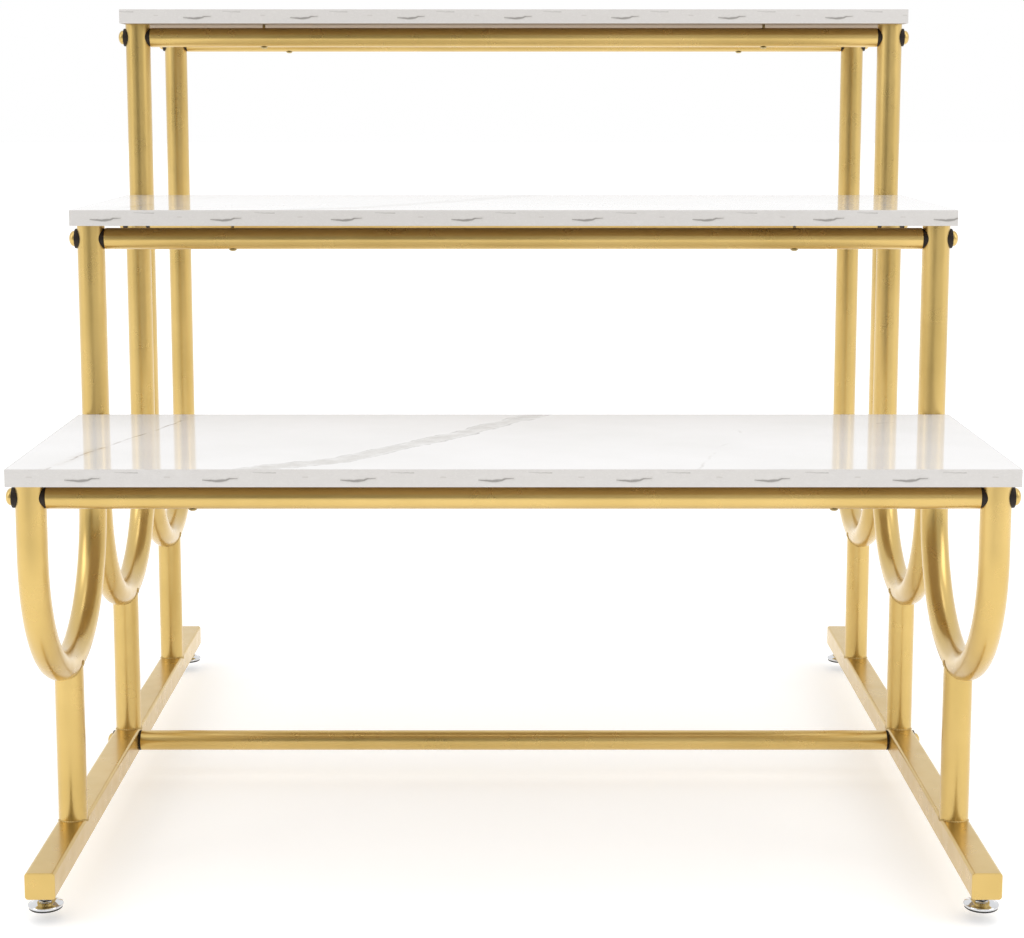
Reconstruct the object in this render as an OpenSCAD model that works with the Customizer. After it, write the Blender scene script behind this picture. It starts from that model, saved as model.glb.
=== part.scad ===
// Three-step shelf riser: stone-look boards on a welded and bolted tube frame with levelling feet.
// Millimetres, +Z up, origin on the floor under the middle of the riser, front towards -Y.

/* [Shelf boards] */
// Width of each board, side to side
shelf_w = 900; // [600:10:1200]
// Depth of each board, front to back
shelf_d = 320; // [300:5:400]
// Total thickness of a board, with its laminates
shelf_t = 16; // [12:1:25]
// Thickness of the laminate on each face
laminate_t = 1; // [0.5:0.1:1.2]
// Thickness of the edge band
edge_band_t = 1; // [0.5:0.1:2]

/* [Steps] */
// Height of the lowest board's top above the floor
lower_shelf_top = 421; // [400:1:480]
// Rise from one board to the next
step_h = 212; // [150:1:260]
// Distance from one board's front edge to the next one's
step_d = 300; // [280:5:340]

/* [Side frames] */
// Outer diameter of the U tubes and short posts
tube_d = 28; // [25:1:32]
// Wall of the U tubes, posts and rails
tube_wall = 1.2; // [1:0.1:2]
// Gap from the board's end to the outer face of the side frame
frame_inset = 1; // [0:0.5:10]
// Distance from a board's front edge to the middle of its front limb
limb_setback = 34; // [30:1:34]
// Height of the U bends' underside above the floor
u_bottom_z = 186; // [150:1:200]
// Gap that the weld fills between two neighbouring U tubes
limb_gap = 0.2; // [0.1:0.1:2]

/* [Base tubes] */
// Width of the rectangular base tube
base_w = 28; // [25:0.5:32]
// Height of the rectangular base tube
base_h = 25.5; // [25:0.5:40]
// Wall of the base tube
base_wall = 1.5; // [1.2:0.1:2.5]
// Outer corner radius of the base tube
base_corner_r = 3; // [2:0.5:4]
// Thickness of the plates that close the base tube's ends
end_cap_t = 2; // [1:0.5:4]

/* [Rails] */
// Outer diameter of the rails and the stretcher
rail_d = 22; // [19:1:25]
// Distance from a board's underside down to the rail's axis
rail_drop = 15; // [14:0.5:20]
// Thinnest part of the saddle between a rail and its limb
saddle_t = 1; // [0.5:0.5:3]
// Thickness of the flat spacer at each end of the stretcher
flat_spacer_t = 2; // [1:0.5:4]
// Length of the threaded insert in each rail end
insert_l = 24; // [20:1:40]

/* [Fasteners] */
// Diameter of the bolts that hold the rails
bolt_d = 6; // [5:1:8]
// Length of the bolts under the head
bolt_l = 52; // [48:1:60]
// Diameter of a bolt's round head
bolt_head_d = 16; // [13:0.5:17]
// Height of a bolt's round head
bolt_head_h = 6.5; // [4:0.5:8]
// Width across the flats of the hex socket in a bolt head
hex_socket = 4; // [3:0.5:5]
// Outer diameter of the saddle washer under a bolt head
washer_d = 22; // [18:0.5:24]
// Thinnest part of the saddle washer under a bolt head
washer_t = 2; // [1:0.5:4]
// Distance from the middle of the riser to each board screw
screw_x = 289; // [200:1:350]
// Diameter of the board screws
screw_d = 4; // [3:0.5:5]
// Depth that a board screw goes into the board
screw_bite = 12; // [8:0.5:13]

/* [Levelling feet] */
// Distance from the end of a base tube to the middle of its foot
foot_inset = 22; // [20:1:60]
// Diameter of the foot's cup
foot_d = 33; // [28:1:40]
// Height of the foot's cup
cup_h = 6.4; // [6:0.2:8]
// Thickness of the rubber pad under the cup
pad_t = 2; // [1:0.5:4]
// Gap from the floor to the base tube, with the foot screwed right in
floor_gap = 15.6; // [15.6:0.2:25]
// Diameter of the foot's threaded stud
stud_d = 8; // [6:1:10]

/* [Hidden] */
$fn = 64;
SIDES = ["left", "right"];
TIERS = ["lower", "middle", "top"];
ENDS = ["front", "rear"];
POSTS = ["front", "middle", "rear"];

GOLD = [0.77, 0.64, 0.35];
MARBLE = [0.94, 0.93, 0.93];
EDGE_BAND = [0.86, 0.84, 0.83];
FIBREBOARD = [0.68, 0.55, 0.40];
BLACK = [0.09, 0.07, 0.06];
CHROME = [0.80, 0.81, 0.83];
ZINC = [0.66, 0.67, 0.69];

slip = 0.075;                 // radial clearance round a stud that turns
hole_play = 0.3;              // radial play of a bolt or screw in a drilled hole
thread_play = 0.05;           // radial play of a plain shank that stands for a thread
cope_gap = 0.05;              // gap that the weld fills between a post and its U tube
cut = 1;                      // how far a cutting shape runs past what it cuts

total_d = 2 * step_d + shelf_d;
post_x = shelf_w / 2 - frame_inset - tube_d / 2;
u_span = step_d - tube_d - limb_gap;
bend_r = u_span / 2;
bend_z = u_bottom_z + tube_d / 2 + bend_r;
base_top = floor_gap + base_h;
post_lap = 0.8 * base_corner_r; // how far a post reaches down round the base tube's corners
base_front = -total_d / 2 + limb_setback - tube_d / 2;
base_rear = total_d / 2 - shelf_d + limb_setback + u_span + tube_d / 2;
rail_end_x = post_x - tube_d / 2 - saddle_t;
rail_bore = rail_d - 2 * tube_wall;
stretcher_y = 0;
stretcher_z = floor_gap + base_h / 2;
stretcher_end_x = post_x - base_w / 2 - flat_spacer_t;
washer_face_x = post_x + tube_d / 2 + washer_t;
base_washer_t = 1.5;
base_washer_face_x = post_x + base_w / 2 + base_washer_t;
core_margin = edge_band_t;

screw_head_d = 2 * screw_d;
screw_head_h = 2.4;
plug_h = 12;
plug_wall = 2;

collar_af = 13;               // across the flats of the stud's hex collar
collar_h = 5.4;
nut_flange_d = 15;
nut_flange_t = 0.8;
nut_body_d = 11;
nut_h = 15;
stop_gap = 0.2;               // gap between the collar and the nut at the stop
ball_d = stud_d + 2;          // disc at the stud's foot, held in the cup
ball_h = 2.4;
stud_top = floor_gap + 20;
cup_floor_z = pad_t + 1.8;
cup_top = pad_t + cup_h;

// Where the repeated pieces stand. A tier is 0, 1 or 2 from the front, and an end is 0 or 1.
function hand(side) = side == 0 ? -1 : 1;
function shelf_front(tier) = -total_d / 2 + tier * step_d;
function shelf_mid(tier) = shelf_front(tier) + shelf_d / 2;
function shelf_top(tier) = lower_shelf_top + tier * step_h;
function shelf_under(tier) = shelf_top(tier) - shelf_t;
function limb_y(tier, end) = shelf_front(tier) + limb_setback + end * u_span;
function u_mid(tier) = limb_y(tier, 0) + bend_r;
function rail_z(tier) = shelf_under(tier) - rail_drop;
function foot_y(end) = end == 0 ? base_front + foot_inset : base_rear - foot_inset;

// A rod along X from x0 outwards to x1, on the given side.
module rod_x(side, x0, x1, d) {
    translate([min(hand(side) * x0, hand(side) * x1), 0, 0])
        rotate([0, 90, 0]) cylinder(d = d, h = abs(x1 - x0));
}

// Draws its children at every rail joint: both ends of the front and rear rail of each board.
module at_rail_joints()
    for (tier = [0:2], end = [0, 1])
        translate([0, limb_y(tier, end), rail_z(tier)]) children();

// Draws its children at every board screw of one board, at the height of the rails' axes.
module at_board_screws(tier)
    for (end = [0, 1], x = [-screw_x, screw_x])
        translate([x, limb_y(tier, end), rail_z(tier)]) children();

// Rounded rectangle with the middle of its lower side at the origin.
module rounded_rectangle(w, h, r) {
    translate([-w / 2 + r, 0]) square([w - 2 * r, h]);
    translate([-w / 2, r]) square([w, h - 2 * r]);
    for (x = [r - w / 2, w / 2 - r], y = [r, h - r])
        translate([x, y]) circle(r = r);
}

// The solid that a U tube's outer or inner surface encloses.
module u_bar(side, tier, r, top) {
    translate([hand(side) * post_x, u_mid(tier), bend_z]) {
        for (y = [-bend_r, bend_r])
            translate([0, y, 0]) cylinder(r = r, h = top - bend_z);
        rotate([-90, 0, 90]) rotate_extrude(angle = 180) translate([bend_r, 0]) circle(r = r);
    }
}

// One bent tube: two limbs up to the board and a half-circle bend below.
module u_tube(side, tier) {
    color(GOLD) difference() {
        u_bar(side, tier, tube_d / 2, shelf_under(tier));
        u_bar(side, tier, tube_d / 2 - tube_wall, shelf_under(tier) + cut);
        for (end = [0, 1]) translate([0, limb_y(tier, end), rail_z(tier)])
            rod_x(side, post_x - tube_d, post_x + tube_d, bolt_d + 2 * hole_play);
    }
}

// Short post from the base tube up to the U bend, coped to fit round the bend.
module short_post(side, tier) {
    foot_z = base_top - post_lap;
    post_h = u_bottom_z + tube_d / 2 - foot_z;
    color(GOLD) difference() {
        translate([hand(side) * post_x, u_mid(tier), foot_z]) difference() {
            cylinder(d = tube_d, h = post_h);
            translate([0, 0, -cut]) cylinder(d = tube_d - 2 * tube_wall, h = post_h + 2 * cut);
        }
        u_bar(side, tier, tube_d / 2 + cope_gap, shelf_under(tier));
        translate([hand(side) * post_x, u_mid(tier) + tube_d, floor_gap]) rotate([90, 0, 0])
            linear_extrude(2 * tube_d) rounded_rectangle(base_w, base_h, base_corner_r);
    }
}

// Rectangular tube along the floor, drilled for its feet and the stretcher bolt.
module base_tube(side) {
    tube_l = base_rear - base_front - 2 * end_cap_t;
    inner_r = base_corner_r - base_wall;
    color(GOLD) difference() {
        translate([hand(side) * post_x, base_rear - end_cap_t, floor_gap]) rotate([90, 0, 0])
            difference() {
                linear_extrude(tube_l) rounded_rectangle(base_w, base_h, base_corner_r);
                translate([0, base_wall, -cut]) linear_extrude(tube_l + 2 * cut)
                    rounded_rectangle(base_w - 2 * base_wall, base_h - 2 * base_wall, inner_r);
            }
        for (end = [0, 1]) translate([hand(side) * post_x, foot_y(end), floor_gap - cut])
            cylinder(d = nut_body_d + 2 * thread_play, h = base_wall + 2 * cut);
        translate([0, stretcher_y, stretcher_z])
            rod_x(side, post_x - base_w, post_x + base_w, bolt_d + 2 * hole_play);
    }
}

// Plate welded over one end of a base tube.
module base_end_cap(side, end) {
    y = end == 0 ? base_front + end_cap_t : base_rear;
    color(GOLD) translate([hand(side) * post_x, y, floor_gap]) rotate([90, 0, 0])
        linear_extrude(end_cap_t) rounded_rectangle(base_w, base_h, base_corner_r);
}

// Round tube across the riser under one edge of a board.
module shelf_rail(tier, end) {
    color(GOLD) difference() {
        translate([0, limb_y(tier, end), rail_z(tier)]) rotate([0, 90, 0]) difference() {
            cylinder(d = rail_d, h = 2 * rail_end_x, center = true);
            cylinder(d = rail_bore, h = 2 * rail_end_x + 2 * cut, center = true);
        }
        at_board_screws(tier) cylinder(d = screw_d + 2 * hole_play, h = 2 * rail_d, center = true);
    }
}

// Round tube between the two base tubes.
module base_stretcher() {
    color(GOLD) translate([0, stretcher_y, stretcher_z]) rotate([0, 90, 0]) difference() {
        cylinder(d = rail_d, h = 2 * stretcher_end_x, center = true);
        cylinder(d = rail_bore, h = 2 * stretcher_end_x + 2 * cut, center = true);
    }
}

// Fibreboard inside a board, with a pilot hole for each screw.
module shelf_core(tier) {
    color(FIBREBOARD) difference() {
        translate([core_margin - shelf_w / 2, shelf_front(tier) + core_margin,
                   shelf_under(tier) + laminate_t])
            cube([shelf_w - 2 * core_margin, shelf_d - 2 * core_margin, shelf_t - 2 * laminate_t]);
        at_board_screws(tier)
            cylinder(d = screw_d + 2 * thread_play, h = rail_drop + screw_bite);
    }
}

// Laminate on a board's upper face.
module top_laminate(tier) {
    color(MARBLE) translate([core_margin - shelf_w / 2, shelf_front(tier) + core_margin,
                             shelf_top(tier) - laminate_t])
        cube([shelf_w - 2 * core_margin, shelf_d - 2 * core_margin, laminate_t]);
}

// Laminate on a board's lower face, drilled for the screws.
module bottom_laminate(tier) {
    color(MARBLE) difference() {
        translate([core_margin - shelf_w / 2, shelf_front(tier) + core_margin, shelf_under(tier)])
            cube([shelf_w - 2 * core_margin, shelf_d - 2 * core_margin, laminate_t]);
        at_board_screws(tier)
            cylinder(d = screw_d + 2 * thread_play, h = rail_drop + screw_bite);
    }
}

// Four strips round a board: the long ones cover the ends of the short ones.
module edge_band(tier) {
    color(EDGE_BAND) translate([0, 0, shelf_under(tier)]) {
        for (y = [shelf_front(tier), shelf_front(tier) + shelf_d - edge_band_t])
            translate([-shelf_w / 2, y, 0]) cube([shelf_w, edge_band_t, shelf_t]);
        for (x = [-shelf_w / 2, shelf_w / 2 - edge_band_t])
            translate([x, shelf_front(tier) + edge_band_t, 0])
                cube([edge_band_t, shelf_d - 2 * edge_band_t, shelf_t]);
    }
}

// A disc along X whose far face is hollowed to fit round a limb.
module saddle(side, x0, x1, d) {
    difference() {
        rod_x(side, x0, x1, d);
        rod_x(side, x0 - cut, x1 + cut, bolt_d + 2 * hole_play);
        translate([hand(side) * post_x, 0, 0]) cylinder(d = tube_d, h = 2 * d, center = true);
    }
}

// Saddles between the rails' ends and the limbs.
module saddle_spacers() {
    color(BLACK) for (side = [0, 1]) at_rail_joints()
        saddle(side, rail_end_x, post_x - tube_d / 4, rail_d);
}

// Saddle washers under the rail bolts' heads.
module saddle_washers() {
    color(BLACK) for (side = [0, 1]) at_rail_joints()
        saddle(side, post_x + tube_d / 4, washer_face_x, washer_d);
}

// Flat spacers between the stretcher's ends and the base tubes.
module stretcher_spacers() {
    color(BLACK) for (side = [0, 1]) translate([0, stretcher_y, stretcher_z]) difference() {
        rod_x(side, stretcher_end_x, stretcher_end_x + flat_spacer_t, rail_d);
        rod_x(side, stretcher_end_x - cut, post_x, bolt_d + 2 * hole_play);
    }
}

// Flat washers under the stretcher bolts' heads.
module stretcher_washers() {
    color(BLACK) for (side = [0, 1]) translate([0, stretcher_y, stretcher_z]) difference() {
        rod_x(side, post_x + base_w / 2, base_washer_face_x, washer_d);
        rod_x(side, post_x, base_washer_face_x + cut, bolt_d + 2 * hole_play);
    }
}

// Threaded insert pressed into the end of a rail.
module threaded_insert(side, x_end) {
    difference() {
        rod_x(side, x_end - insert_l, x_end, rail_bore);
        rod_x(side, x_end - insert_l - cut, x_end + cut, bolt_d + 2 * thread_play);
    }
}

module rail_inserts() {
    color(ZINC) for (side = [0, 1]) {
        at_rail_joints() threaded_insert(side, rail_end_x);
        translate([0, stretcher_y, stretcher_z]) threaded_insert(side, stretcher_end_x);
    }
}

// Bolt along X: its low round head, with a hex socket, stands outside x_face.
module round_head_bolt(side, x_face) {
    dome_h = bolt_head_h * 2 / 3;
    dome_r = (pow(bolt_head_d / 2, 2) + pow(dome_h, 2)) / (2 * dome_h);
    translate([hand(side) * x_face, 0, 0]) rotate([0, 90 * hand(side), 0]) difference() {
        rotate_extrude() {
            translate([0, -bolt_l]) square([bolt_d / 2, bolt_l]);
            intersection() {
                square([bolt_head_d / 2, bolt_head_h]);
                translate([0, bolt_head_h - dome_r]) circle(r = dome_r);
            }
        }
        translate([0, 0, bolt_head_h / 2])
            cylinder(d = hex_socket / cos(30), h = bolt_head_h, $fn = 6);
    }
}

module shelf_rail_bolts() {
    color(GOLD) for (side = [0, 1]) at_rail_joints() round_head_bolt(side, washer_face_x);
}

module stretcher_bolts() {
    color(GOLD) for (side = [0, 1]) translate([0, stretcher_y, stretcher_z])
        round_head_bolt(side, base_washer_face_x);
}

// Pan-head screws up through the rails into the boards.
module board_screws() {
    color(ZINC) for (tier = [0:2]) at_board_screws(tier) {
        translate([0, 0, -rail_d / 2 - screw_head_h]) cylinder(d = screw_head_d, h = screw_head_h);
        translate([0, 0, -rail_d / 2])
            cylinder(d = screw_d, h = rail_d / 2 + rail_drop + screw_bite);
    }
}

// Cup-shaped plugs pushed into the limbs' upper ends, flush with the tube.
module limb_plugs() {
    plug_d = tube_d - 2 * tube_wall;
    color(BLACK) for (side = [0, 1], tier = [0:2], end = [0, 1])
        translate([hand(side) * post_x, limb_y(tier, end), shelf_under(tier) - plug_h])
            difference() {
                cylinder(d = plug_d, h = plug_h);
                translate([0, 0, -cut])
                    cylinder(d = plug_d - 2 * plug_wall, h = plug_h - plug_wall + cut);
            }
}

// Flanged rivet nuts in the base tubes' undersides, one for each foot.
module foot_nuts() {
    color(ZINC) for (side = [0, 1], end = [0, 1])
        translate([hand(side) * post_x, foot_y(end), floor_gap]) difference() {
            union() {
                translate([0, 0, -nut_flange_t]) cylinder(d = nut_flange_d, h = nut_flange_t);
                cylinder(d = nut_body_d, h = nut_h);
            }
            translate([0, 0, -nut_flange_t - cut])
                cylinder(d = stud_d + 2 * slip, h = nut_h + nut_flange_t + 2 * cut);
        }
}

// Places its children on the floor under one foot's axis.
module at_foot(side, end)
    translate([hand(side) * post_x, foot_y(end), 0]) children();

// Threaded stud: disc held in the cup, hex collar for a spanner, and the thread above it.
module foot_stud(side, end) {
    collar_top = floor_gap - nut_flange_t - stop_gap;
    color(ZINC) at_foot(side, end) {
        translate([0, 0, cup_floor_z + slip]) {
            cylinder(d = ball_d, h = ball_h - 2 * slip);
            cylinder(d = stud_d, h = stud_top - cup_floor_z - slip);
        }
        translate([0, 0, collar_top - collar_h])
            cylinder(d = collar_af / cos(30), h = collar_h, $fn = 6);
    }
}

// Pressed cup that rests on the pad and holds the stud's disc.
module foot_cup(side, end) {
    rim_z = pad_t + 1.6;
    crown_r = stud_d / 2 + 3.5;
    color(CHROME) at_foot(side, end) difference() {
        rotate_extrude() polygon([
            [0, pad_t], [foot_d / 2 - 0.6, pad_t], [foot_d / 2, pad_t + 0.6], [foot_d / 2, rim_z],
            [foot_d / 2 - 1.2, rim_z + 1.3], [foot_d / 2 - 3.4, rim_z + 2.4],
            [crown_r, cup_top], [0, cup_top]]);
        translate([0, 0, cup_floor_z]) cylinder(d = ball_d + 2 * slip, h = ball_h);
        translate([0, 0, cup_floor_z]) cylinder(d = stud_d + 2 * slip, h = cup_h);
    }
}

// Rubber pad under the cup.
module foot_pad(side, end)
    color(BLACK) at_foot(side, end) cylinder(d = foot_d - 2, h = pad_t);

function each_side(names) = [for (s = SIDES, n = names) str(s, "_", n)];
function each_tier(names) = [for (t = TIERS, n = names) str(t, "_", n)];
FOOT_PIECES = [for (e = ENDS, p = ["foot_stud", "foot_cup", "foot_pad"]) str(e, "_", p)];

for (s = [0, 1]) {
    base_tube(s);
    for (e = [0, 1]) {
        corner = str(SIDES[s], "_", ENDS[e]);
        base_end_cap(s, e);
        foot_stud(s, e);
        foot_cup(s, e);
        foot_pad(s, e);
    }
    for (t = [0:2]) {
        short_post(s, t);
        u_tube(s, t);
    }
}
for (t = [0:2]) {
    shelf_rail(t, 0);
    shelf_rail(t, 1);
    shelf_core(t);
    top_laminate(t);
    bottom_laminate(t);
    edge_band(t);
}
base_stretcher();
rail_inserts();
saddle_spacers();
saddle_washers();
stretcher_spacers();
stretcher_washers();
shelf_rail_bolts();
stretcher_bolts();
board_screws();
limb_plugs();
foot_nuts();
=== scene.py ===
import math

import bmesh
import bpy
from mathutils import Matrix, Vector


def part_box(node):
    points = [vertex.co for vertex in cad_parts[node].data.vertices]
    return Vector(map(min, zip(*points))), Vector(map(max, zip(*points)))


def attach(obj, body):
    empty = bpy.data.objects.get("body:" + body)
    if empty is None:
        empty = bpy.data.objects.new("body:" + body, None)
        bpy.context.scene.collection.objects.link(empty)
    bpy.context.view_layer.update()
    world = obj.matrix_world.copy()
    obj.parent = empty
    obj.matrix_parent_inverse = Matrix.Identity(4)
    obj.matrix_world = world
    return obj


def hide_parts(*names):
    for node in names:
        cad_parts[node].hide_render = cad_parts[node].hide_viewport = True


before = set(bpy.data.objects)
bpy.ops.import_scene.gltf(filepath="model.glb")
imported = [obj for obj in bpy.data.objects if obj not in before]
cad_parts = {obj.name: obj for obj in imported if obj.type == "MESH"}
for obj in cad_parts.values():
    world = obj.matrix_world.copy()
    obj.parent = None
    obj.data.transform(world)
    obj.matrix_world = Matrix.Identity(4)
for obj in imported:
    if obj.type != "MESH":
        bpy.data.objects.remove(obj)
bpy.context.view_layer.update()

# Lengths are in metres, in the CAD model's frame: front towards -Y, floor at Z 0.
MM = 0.001
SIDES = {"left": -1, "right": 1}
TIERS = ("lower", "middle", "top")
ENDS = ("front", "rear")
LOOP_OF_POST = {"front": "lower", "middle": "middle", "rear": "top"}
BODY = "frame"


# ---- Working by hand -------------------------------------------------------------------------

def deselect():
    """Leaves nothing selected, in object mode."""
    active = bpy.context.object
    if active and active.mode != "OBJECT":
        bpy.ops.object.mode_set(mode="OBJECT")
    bpy.ops.object.select_all(action="DESELECT")


def hold(obj):
    """Selects one object alone, in object mode."""
    deselect()
    obj.select_set(True)
    bpy.context.view_layer.objects.active = obj
    return obj


def settle(obj):
    """Puts the object's place, turn and scale into its mesh."""
    hold(obj)
    bpy.ops.object.transform_apply(location=True, rotation=True, scale=True)
    return obj


TURN_TO = {"X": (0, math.pi / 2, 0), "Y": (math.pi / 2, 0, 0), "Z": (0, 0, 0)}


def rod(radius, length, centre, axis="Z", facets=64, caps="NGON"):
    """A cylinder at its place, along one axis."""
    deselect()
    bpy.ops.mesh.primitive_cylinder_add(
        vertices=facets, radius=radius, depth=length, end_fill_type=caps,
        location=centre, rotation=TURN_TO[axis])
    return settle(bpy.context.object)


def block(low, high):
    """A box between two corners."""
    deselect()
    bpy.ops.mesh.primitive_cube_add(size=1, location=(Vector(low) + Vector(high)) / 2)
    bpy.context.object.scale = Vector(high) - Vector(low)
    return settle(bpy.context.object)


def pick(obj, kind, test):
    """Enters edit mode and selects the faces, edges or verts whose middle passes the test."""
    if obj.mode != "EDIT":
        hold(obj)
        bpy.ops.object.mode_set(mode="EDIT")
    bpy.ops.mesh.select_mode(type={"faces": "FACE", "edges": "EDGE", "verts": "VERT"}[kind])
    bpy.ops.mesh.select_all(action="DESELECT")
    mesh = bmesh.from_edit_mesh(obj.data)
    for item in getattr(mesh, kind):
        corners = [item] if kind == "verts" else item.verts
        middle = sum((v.co for v in corners), Vector()) / len(corners)
        if test(item, middle):
            item.select_set(True)
    mesh.select_flush_mode()
    bmesh.update_edit_mesh(obj.data)


def along(edge, axis):
    """Does the edge run along the axis?"""
    run = (edge.verts[1].co - edge.verts[0].co).normalized()
    return abs(run[axis]) > 0.99


def soften(obj, test, offset, segments=3):
    """Rounds the edges that pass the test."""
    pick(obj, "edges", test)
    bpy.ops.mesh.bevel(offset=offset, segments=segments, affect="EDGES", clamp_overlap=True)
    return hold(obj)


def apply_modifier(obj, kind, **settings):
    """Adds one modifier with its settings and applies it."""
    hold(obj)
    modifier = obj.modifiers.new(kind.lower(), kind)
    for key, value in settings.items():
        setattr(modifier, key, value)
    bpy.ops.object.modifier_apply(modifier=modifier.name)
    return obj


def cut(obj, *cutters):
    """Cuts the other shapes out of this one and throws them away."""
    for cutter in cutters:
        apply_modifier(obj, "BOOLEAN", operation="DIFFERENCE", object=cutter, solver="EXACT")
        bpy.data.objects.remove(cutter)
    return obj


def merge_doubles(obj, gap=0.001 * MM):
    """Merges points that lie on each other."""
    hold(obj)
    bpy.ops.object.mode_set(mode="EDIT")
    bpy.ops.mesh.select_all(action="SELECT")
    bpy.ops.mesh.remove_doubles(threshold=gap)
    return hold(obj)


def close_up(obj):
    """Merges doubles and turns every face outwards."""
    merge_doubles(obj)
    bpy.ops.object.mode_set(mode="EDIT")
    bpy.ops.mesh.select_all(action="SELECT")
    bpy.ops.mesh.normals_make_consistent(inside=False)
    return hold(obj)


def copy_of(obj, shift=(0, 0, 0), half_turn=False):
    """A copy with its own mesh, turned half round the Z axis if asked, then shifted."""
    twin = obj.copy()
    twin.data = obj.data.copy()
    bpy.context.scene.collection.objects.link(twin)
    twin.rotation_euler = (0, 0, math.pi if half_turn else 0)
    twin.location = shift
    return settle(twin)


def join(pieces):
    """Makes one object of several."""
    hold(pieces[0])
    for piece in pieces:
        piece.select_set(True)
    bpy.ops.object.join()
    return bpy.context.object


def turned(outline, centre, axis="Z", steps=48):
    """Turns an outline of (radius, height) points, from axis to axis, round an upright axis."""
    deselect()
    bpy.ops.mesh.primitive_plane_add(size=1, location=(0, 0, 0))
    piece = bpy.context.object
    bpy.ops.object.mode_set(mode="EDIT")
    bpy.ops.mesh.select_mode(type="VERT")
    bpy.ops.mesh.select_all(action="SELECT")
    bpy.ops.mesh.merge(type="CENTER")
    bpy.ops.transform.translate(value=(outline[0][0], 0, outline[0][1]))
    for (r0, z0), (r1, z1) in zip(outline, outline[1:]):
        bpy.ops.mesh.extrude_vertices_move(
            TRANSFORM_OT_translate={"value": (r1 - r0, 0, z1 - z0)})
    bpy.ops.mesh.select_all(action="SELECT")
    bpy.ops.mesh.spin(steps=steps, angle=math.tau, center=(0, 0, 0), axis=(0, 0, 1))
    close_up(piece)
    piece.rotation_euler = TURN_TO[axis]
    piece.location = centre
    return settle(piece)


def finish_piece(obj, name, body, slot, *replaced, look=None, smooth_degrees=35, flat_faces=False):
    """Names a piece, gives it its material and body, and hides the CAD nodes it stands for."""
    hold(obj)
    obj.name = name
    obj.data.name = name
    bpy.ops.object.shade_smooth_by_angle(angle=math.radians(smooth_degrees))
    if flat_faces:
        apply_modifier(obj, "WEIGHTED_NORMAL", weight=100, keep_sharp=True)
    obj.data.materials.clear()
    obj.data.materials.append(look or LOOKS[slot])
    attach(obj, body)
    if replaced:
        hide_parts(*replaced)
    return obj


# ---- Materials -------------------------------------------------------------------------------

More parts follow.
